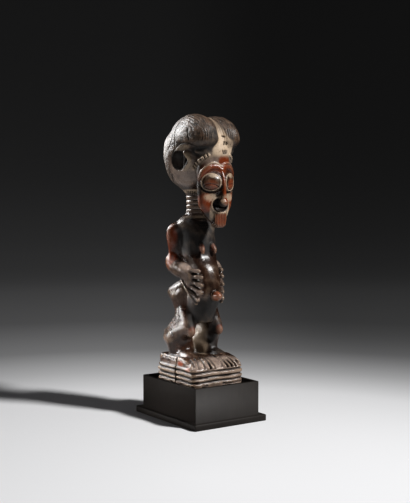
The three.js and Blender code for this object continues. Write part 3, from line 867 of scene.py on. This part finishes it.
def wood_masks(points, triangles, laid):
    """What the material reads at each point: patches of colour, some of them painted light and painted shade,
    and how sharply the wood bends there.
    """
    normals = normals_of(points, triangles)
    fine = ((points - melted((points, triangles), 4)[0]) * normals).sum(1)
    broad = ((points - melted((points, triangles), 30)[0]) * normals).sum(1)
    crest = bare_crest(points)
    hollow = in_hollows(points)
    on_face = points - (FACE_ASIDE, 0, 0)
    near_brow = np.where(points[:, 0] < FACE_ASIDE, 0.8, 0.3)
    rims = strongest([along_eye(points, [rim_line()], 0.75),
                      0.7 * along_face(points, [oval(*LIPS, 40, 320)], 1.3),
                      near_brow * scored(on_face, [through(BROW_EDGE, 24)], 1.4)])
    strip = scored(on_face, [through(TEMPLE, 16)], 3.4)
    masks = {name: ovals(points, name) for name in PAIRS}
    masks["red_wear"] = np.maximum(masks["red_wear"], 0.8 * scored(on_face, [through(BROW, 24)], 4.2))
    masks["kaolin_and_painted_highlight"] = strongest([masks["kaolin_and_painted_highlight"], 0.95 * crest, 0.75 * rims, 0.9 * strip]) * (1 - hollow)
    masks["red_wear"] = masks["red_wear"] * (1 - 0.8 * rims) * (1 - crest)
    masks["raised"] = smoothstep(0.03, 0.3, fine) + 0.5 * smoothstep(0.2, 1.6, broad)
    # Sunken places are darkened with dirt and painted shade: creases, the ear and mouth hollows, the floors
    # of cuts and grooves and the gaps of the toes.
    masks["sunken"] = strongest([
        smoothstep(-0.04, -0.35, fine), smoothstep(-0.5, -2.0, broad), hollow,
        scored(on_face, laid["teeth_floor"], 1.15), scored(points, laid["notches_floor"], 1.1),
        0.9 * scored(points, laid["lines"], 1.3), scored(points, laid["cracks"], 1.0, sides=NEAR_SIDE),
        along_face(points, FOREHEAD, 1.05, sides=AS_DRAWN), toe_gaps(points),
        smoothstep(0.6, 2.4, -base_rings(points))])
    masks["hair"] = smoothstep(0, 3, hair_edge(points)) * (1 - crest)
    return masks


# The two wooden pieces

def carved_figure():
    """The whole figure as one mesh, with what its material reads as attributes of the points."""
    shape = melted(joined(big_forms(), ROUGH_VOXEL), ROUGH_ROUNDS)
    under_lobe = tube([[43, -12, 368, 4], [38, -28, 366, 4], [31, -41, 366.5, 3]])
    ears = both(ball(*EAR_HOLLOW), ball(*EAR_DIMPLE), under_lobe)
    shape = cut(shape, [*ears, moved(ball(*MOUTH), FACE_ASIDE)])
    laid = head_lines(shape)
    crisp = face_forms() + ear_forms() + body_forms() + base_forms()
    points, triangles = smoothed(joined([shape, *crisp], FINE_VOXEL), FINE_ROUNDS)
    points, triangles = thinned((relief(points, triangles, laid), triangles), MOST_TRIANGLES)
    figure = mesh_object("figure_wood", points, triangles)
    figure.data.shade_smooth()
    for name, mask in wood_masks(points, triangles, laid).items():
        layer = figure.data.attributes.new(name, "FLOAT", "POINT")
        layer.data.foreach_set("value", mask.astype(np.float32))
    return figure


def display_stand():
    """The stand as one surface: a profile of [inset, height] carried round a rectangle with small corners."""
    wall = (FOOT_WIDTH - BLOCK_WIDTH) / 2
    end = (FOOT_DEPTH - BLOCK_DEPTH) / 2
    profile = np.array([[0.6, 0, 0], [0, 0, 0.6], [0, 0, FOOT_HEIGHT - 0.6], [0.6, 0, FOOT_HEIGHT],
                        [0, 1, FOOT_HEIGHT], [0, 1, BLOCK_TOP - 0.6], [0.6, 1, BLOCK_TOP],
                        [RECESS_WALL - 0.5, 1, BLOCK_TOP], [RECESS_WALL, 1, BLOCK_TOP - 0.5],
                        [RECESS_WALL, 1, BLOCK_TOP - RECESS_DEPTH]])
    by, on_block, height = profile.T
    half_x = FOOT_WIDTH / 2 - on_block * wall - by
    half_y = FOOT_DEPTH / 2 - on_block * end - by
    corner = np.where(on_block > 0, 0.8, 1.2)
    angle = np.radians(np.linspace(0, 90, 5))
    turn = np.concatenate([angle + quarter * np.pi / 2 for quarter in range(4)])
    sign_x, sign_y = np.repeat([1, -1, -1, 1], 5), np.repeat([1, 1, -1, -1], 5)
    x = sign_x * (half_x - corner)[:, None] + corner[:, None] * np.cos(turn)
    y = sign_y * (half_y - corner)[:, None] + corner[:, None] * np.sin(turn)
    points, triangles = skin(np.stack([x, y, height[:, None] + 0 * x], -1))
    return mesh_object("stand_wood_block", points, triangles)


# Materials

def new_material(name):
    """A material, its node tree and its shader."""
    made = bpy.data.materials.new(name)
    made.use_nodes = True
    return made, made.node_tree, made.node_tree.nodes["Principled BSDF"]


def node(tree, kind, settings=None, **values):
    """A shader node with its settings and with values or links put into its named inputs."""
    made = tree.nodes.new(kind)
    for name, value in (settings or {}).items():
        setattr(made, name, value)
    for name, value in values.items():
        socket = made.inputs[int(name[1:]) if name[0] == "_" else name.replace("_", " ")]
        if isinstance(value, bpy.types.NodeSocket):
            tree.links.new(value, socket)
        else:
            socket.default_value = (*value, 1) if socket.type == "RGBA" else value
    return made


def mixed(tree, share, first, second):
    """Two colours mixed by a share."""
    return node(tree, "ShaderNodeMix", {"data_type": "RGBA"}, _0=share, _6=first, _7=second).outputs[2]


def sums(tree, operation, first, second, clamp=False):
    """A sum, difference, product or quotient of two values, kept from 0 to 1 if it is clamped."""
    settings = {"operation": operation, "use_clamp": clamp}
    return node(tree, "ShaderNodeMath", settings, _0=first, _1=second).outputs[0]


def times(tree, first, second, clamp=False):
    """The product of two values."""
    return sums(tree, "MULTIPLY", first, second, clamp)


def stretched(tree, value, low, high, way="LINEAR"):
    """A value with what lies between low and high spread over 0 to 1."""
    settings = {"interpolation_type": way}
    return node(tree, "ShaderNodeMapRange", settings, Value=value, From_Min=low, From_Max=high).outputs[0]


def attribute(tree, name):
    """One of the mesh's own attributes."""
    return node(tree, "ShaderNodeAttribute", {"attribute_name": name}).outputs["Fac"]


def object_place(tree):
    """Where a point lies on its own object."""
    return node(tree, "ShaderNodeTexCoord").outputs["Object"]


def wood_surface_group():
    """Old handled wood: broad mottling, fibres that run up the block, fine pits, and the height they make."""
    group = bpy.data.node_groups.new("wood_surface", "ShaderNodeTree")
    for name, default in (("Mottle Scale", 45.0), ("Fibre Scale", 700.0), ("Pit Scale", 420.0)):
        socket = group.interface.new_socket(name, in_out="INPUT", socket_type="NodeSocketFloat")
        socket.default_value = default
    for name in ("Mottle", "Fibre", "Pits", "Height"):
        group.interface.new_socket(name, in_out="OUTPUT", socket_type="NodeSocketFloat")
    given, result = group.nodes.new("NodeGroupInput"), group.nodes.new("NodeGroupOutput")
    place = object_place(group)
    drawn_out = node(group, "ShaderNodeMapping", Vector=place, Scale=(1.0, 1.0, 0.07)).outputs[0]
    kinds = (("Mottle", "Mottle Scale", place, 6.0), ("Fibre", "Fibre Scale", drawn_out, 3.0),
             ("Pits", "Pit Scale", place, 4.0))
    found = {}
    for name, scale_name, where, detail in kinds:
        scale = given.outputs[scale_name]
        noise = node(group, "ShaderNodeTexNoise", Vector=where, Scale=scale, Detail=detail, Roughness=0.62)
        found[name] = stretched(group, noise.outputs[0], 0.3, 0.7)
        group.links.new(found[name], result.inputs[name])
    height = sums(group, "ADD", times(group, found["Fibre"], 0.6), times(group, found["Pits"], 0.5))
    group.links.new(height, result.inputs["Height"])
    return group


def wood_material(name, surface_values, bump):
    """A material with the wood surface group in it, its height already on the shader's normal."""
    made, tree, shader = new_material(name)
    surface = node(tree, "ShaderNodeGroup", {"node_tree": wood_surface})
    for socket, value in surface_values.items():
        surface.inputs[socket].default_value = value
    relief = node(tree, "ShaderNodeBump", Height=surface.outputs["Height"], Strength=bump, Distance=0.0005)
    tree.links.new(relief.outputs[0], shader.inputs["Normal"])
    return made, tree, shader, surface.outputs


# Colours of the figure, as linear red, green and blue. Those in pairs are mixed by the mottling.
DARK_WOOD = (0.011, 0.006, 0.004), (0.042, 0.018, 0.010)
HAIR_STRANDS = (0.125, 0.092, 0.07), (0.075, 0.034, 0.015)
HAIR_GAPS = (0.008, 0.005, 0.0035)
# Pale bare wood, also used as painted light.
PALE_WOOD_AND_LIGHT = (0.31, 0.24, 0.20)
# Black patina, also used as painted shade.
PATINA_AND_SHADE_BLACK = (0.008, 0.006, 0.005)
RED_WEAR = (0.15, 0.027, 0.004)
# Kaolin white, also used as painted highlights and painted light.
KAOLIN_AND_HIGHLIGHT = (0.50, 0.385, 0.275)
RUBBED = (0.30, 0.215, 0.15)
# Dirt in hollows and creases, which also paints the shade there.
DIRT_AND_PAINTED_SHADE = (0.010, 0.007, 0.005)
DARK_SPECKS = (0.02, 0.012, 0.008)
# The roughness of bare wood, and what the mottling adds to it at most.
ROUGHNESS, MOTTLED_ROUGHNESS = 0.17, 0.14

# Colours of the stand: a pair that is mixed by the mottling, and its fibres.
STAND_WOOD = (0.011, 0.0088, 0.0076), (0.018, 0.0146, 0.0124)
STAND_FIBRES = (0.036, 0.03, 0.026)


def carved_wood_material():
    """Dark wood under a glossy black patina, rubbed to red and to bare pale wood, with kaolin in places. Some
    black patches are painted shade, some pale and kaolin patches are painted light and highlights, and
    hollows carry painted shade.
    """
    made, tree, shader, surface = wood_material("carved_wood", {}, 0.35)
    mottle, pits = surface["Mottle"], surface["Pits"]

    def patchy(name, amount=0.8, gain=1.0):
        """A mask with its edge broken up by the mottling, and made stronger by the gain."""
        wavy = times(tree, sums(tree, "SUBTRACT", mottle, 0.5), amount)
        mask = attribute(tree, name)
        return times(tree, sums(tree, "ADD", mask, times(tree, wavy, mask)), gain, clamp=True)

    kaolin_and_painted_highlight, black, red = patchy("kaolin_and_painted_highlight", 0.5), patchy("patina_and_painted_shade"), patchy("red_wear", 1.1, gain=1.35)
    hair, raised, sunken = (attribute(tree, name) for name in ("hair", "raised", "sunken"))
    drawn_out = node(tree, "ShaderNodeMapping", Vector=object_place(tree), Scale=(1.0, 0.09, 0.35)).outputs[0]
    strands = node(tree, "ShaderNodeTexNoise", Vector=drawn_out, Scale=520.0, Detail=5.0, Roughness=0.7)
    strands = stretched(tree, strands.outputs[0], 0.42, 0.58)
    combed = node(tree, "ShaderNodeBump", Height=times(tree, strands, hair), Strength=0.35, Distance=0.0006)
    tree.links.new(shader.inputs["Normal"].links[0].from_socket, combed.inputs["Normal"])
    tree.links.new(combed.outputs[0], shader.inputs["Normal"])

    colour = mixed(tree, mottle, *DARK_WOOD)
    rubbed = times(tree, raised, sums(tree, "ADD", times(tree, pits, 0.35), 0.15), clamp=True)
    layers = ((hair, mixed(tree, strands, HAIR_GAPS, mixed(tree, mottle, *HAIR_STRANDS))),
              (patchy("pale_wood_and_painted_light", 1.5), PALE_WOOD_AND_LIGHT), (black, PATINA_AND_SHADE_BLACK), (red, RED_WEAR), (kaolin_and_painted_highlight, KAOLIN_AND_HIGHLIGHT),
              (rubbed, RUBBED), (times(tree, sunken, 0.92), DIRT_AND_PAINTED_SHADE),
              (times(tree, stretched(tree, pits, 0.72, 0.95), 0.5), DARK_SPECKS))
    for share, over in layers:
        colour = mixed(tree, share, colour, over)
    tree.links.new(colour, shader.inputs["Base Color"])
    roughness = sums(tree, "ADD", times(tree, mottle, MOTTLED_ROUGHNESS), ROUGHNESS)
    for dull, amount in ((kaolin_and_painted_highlight, 0.3), (red, 0.04), (black, 0.4), (hair, 0.1), (sunken, 0.4)):
        roughness = sums(tree, "ADD", roughness, times(tree, dull, amount))
    tree.links.new(roughness, shader.inputs["Roughness"])
    return made


def stand_wood_material():
    """Smooth black-brown painted wood with a dull sheen and a little rubbing."""
    scales = {"Mottle Scale": 18.0, "Fibre Scale": 500.0, "Pit Scale": 900.0}
    made, tree, shader, surface = wood_material("stand_wood", scales, 0.12)
    colour = mixed(tree, surface["Mottle"], *STAND_WOOD)
    colour = mixed(tree, times(tree, surface["Fibre"], 0.25), colour, STAND_FIBRES)
    tree.links.new(colour, shader.inputs["Base Color"])
    tree.links.new(sums(tree, "ADD", times(tree, surface["Pits"], 0.1), 0.5), shader.inputs["Roughness"])
    shader.inputs["Specular IOR Level"].default_value = 0.2
    return made


# The floor's colour at each distance from the figure, in metres: a painted pool of light that falls off
# quickly, as the studio's lights would.
FLOOR_PAINTED_FALLOFF = [(0.0, 0.8), (0.2, 0.72), (0.37, 0.47), (0.6, 0.22), (1.05, 0.11), (1.8, 0.1), (2.8, 0.06),
               (3.3, 0.022), (3.5, 0.014), (3.75, 0.01), (4.2, 0.007)]
FLOOR_MIDDLE = (-0.17, -0.25, 0.0)
FLOOR_FROM_MIDDLE = 0.3
# How much painted shade darkens the floor on the camera's right.
FLOOR_PAINTED_SHADE = 0.66


def floor_material():
    """Pale matt paper with a painted pool of light: its colour darkens with its distance from a place in
    front of the figure, as light falls off on a studio sweep beyond the lights, and painted shade darkens it
    more on the camera's right."""
    made, tree, shader = new_material("studio_floor")
    place = object_place(tree)
    from_middle = node(tree, "ShaderNodeVectorMath", {"operation": "SUBTRACT"}, _0=place, _1=FLOOR_MIDDLE)
    reach = node(tree, "ShaderNodeVectorMath", {"operation": "LENGTH"}, _0=from_middle.outputs[0])
    reach = reach.outputs["Value"]
    furthest = FLOOR_PAINTED_FALLOFF[-1][0] + FLOOR_FROM_MIDDLE
    ramp = node(tree, "ShaderNodeValToRGB", Fac=sums(tree, "DIVIDE", reach, furthest))
    stops = ramp.color_ramp.elements
    for stop_reach, _ in FLOOR_PAINTED_FALLOFF[1:-1]:
        stops.new((stop_reach + FLOOR_FROM_MIDDLE) / furthest)
    for stop, (_, tone) in zip(stops, FLOOR_PAINTED_FALLOFF):
        stop.color = (tone, tone, 1.01 * tone, 1)
    bearing = np.radians(CAMERA_BEARING)
    view_right = (float(np.cos(bearing)), float(np.sin(bearing)), 0.0)
    aside = node(tree, "ShaderNodeVectorMath", {"operation": "DOT_PRODUCT"}, _0=place, _1=view_right)
    right = stretched(tree, aside.outputs["Value"], -0.25, 0.35, "SMOOTHSTEP")
    away = stretched(tree, reach, 0.2, 1.2, "SMOOTHSTEP")
    # Painted shade on the camera's right, away from the figure.
    painted_floor_shade = times(tree, times(tree, right, away), FLOOR_PAINTED_SHADE)
    tree.links.new(mixed(tree, painted_floor_shade, ramp.outputs["Color"], (0.0, 0.0, 0.0)), shader.inputs["Base Color"])
    shader.inputs["Roughness"].default_value = 0.95
    return made


wood_surface = wood_surface_group()

figure = carved_figure()
figure.data.materials.append(carved_wood_material())
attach(figure, "root")
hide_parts("carved_figure")

stand = display_stand()
stand.data.materials.append(stand_wood_material())
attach(stand, "root")
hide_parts("display_stand")


# The studio

def studio_floor():
    """A round sweep: flat under the figure, curving up into a wall all round."""
    reach = np.array([0.02, 0.6, 1.2, 1.8, 2.4, 2.8, 3.1, 3.3, 3.4, 3.45, 3.45]) * 1000
    height = np.array([0, 0, 0, 0, 0, 0.05, 0.18, 0.42, 0.8, 1.4, 3.0]) * 1000
    line = through(np.stack([reach, height], -1), 80)
    angle = np.linspace(0, 2 * np.pi, 96, endpoint=False)
    grid = np.stack([line[:, :1] * np.cos(angle), line[:, :1] * np.sin(angle), line[:, 1:] + 0 * angle], -1)
    rings, sides = grid.shape[:2]
    points = np.vstack([grid.reshape(-1, 3), [[0, 0, 0]]])
    upward = grid_cells(rings, sides)[:, [0, 2, 1]]
    return mesh_object("studio_floor", points, np.vstack([upward, fan(rings * sides, np.arange(sides))]))


def softbox(name, bearing, height, distance, size, power, aim=0.2, spread=180, only=()):
    """An area light at a compass bearing in degrees seen from the figure, at a height and a level distance in
    metres, turned to a height on the figure's axis. It may light only some of the pieces."""
    light = bpy.data.lights.new(name, "AREA")
    light.shape = "RECTANGLE"
    light.size, light.size_y = size
    light.energy = power
    light.spread = np.radians(spread)
    holder = bpy.data.objects.new(name, light)
    bpy.context.scene.collection.objects.link(holder)
    angle = np.radians(bearing)
    place = Vector((distance * np.sin(angle), -distance * np.cos(angle), height))
    holder.location = place
    holder.rotation_euler = (place - Vector((0, 0, aim))).to_track_quat("Z", "Y").to_euler()
    holder.visible_camera = False
    if only:
        receivers = bpy.data.collections.new("lit_by_" + name)
        for piece in only:
            receivers.objects.link(piece)
        holder.light_linking.receiver_collection = receivers


floor = studio_floor()
floor.data.materials.append(floor_material())
floor.data.shade_smooth()
floor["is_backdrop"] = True

softbox("key_right", 28, 2.9, 3.0, (0.42, 0.42), 198)
softbox("rim_left", -149, 0.95, 1.2, (0.3, 0.7), 22, aim=0.3, only=(figure,))
softbox("rim_back", -178, 0.6, 1.2, (0.5, 0.5), 4, aim=0.35, only=(figure,))
softbox("rim_low", -143, 0.2, 1.2, (0.3, 0.12), 0.05, aim=0.14, spread=12, only=(figure,))
softbox("strip_left", -106, 0.3, 1.2, (0.14, 0.2), 0.11, aim=0.07, spread=11, only=(figure, stand))
softbox("top_soft", -60, 1.6, 0.3, (0.8, 0.8), 3, only=(figure,))

world = bpy.data.worlds.new("studio")
world.use_nodes = True
world.node_tree.nodes["Background"].inputs["Color"].default_value = (0.5, 0.5, 0.52, 1)
world.node_tree.nodes["Background"].inputs["Strength"].default_value = 0.2
bpy.context.scene.world = world

lens = bpy.data.cameras.new("photo_camera")
lens.lens = CAMERA_LENS
camera = bpy.data.objects.new("photo_camera", lens)
bearing = np.radians(CAMERA_BEARING)
across, back = CAMERA_DISTANCE * np.sin(bearing), -CAMERA_DISTANCE * np.cos(bearing)
camera.location = np.array([across, back, CAMERA_HEIGHT]) * MM
camera.rotation_euler = np.radians([90 - CAMERA_DOWN, 0, CAMERA_BEARING - CAMERA_ASIDE])
bpy.context.scene.collection.objects.link(camera)
bpy.context.scene.camera = camera

bpy.context.scene.view_settings.view_transform = "Standard"
bpy.context.scene.view_settings.look = "Medium High Contrast"

plain_box = lambda box: [[float(value) for value in corner] for corner in box]
{"cad": plain_box(cad_box), "visual": plain_box(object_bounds())}
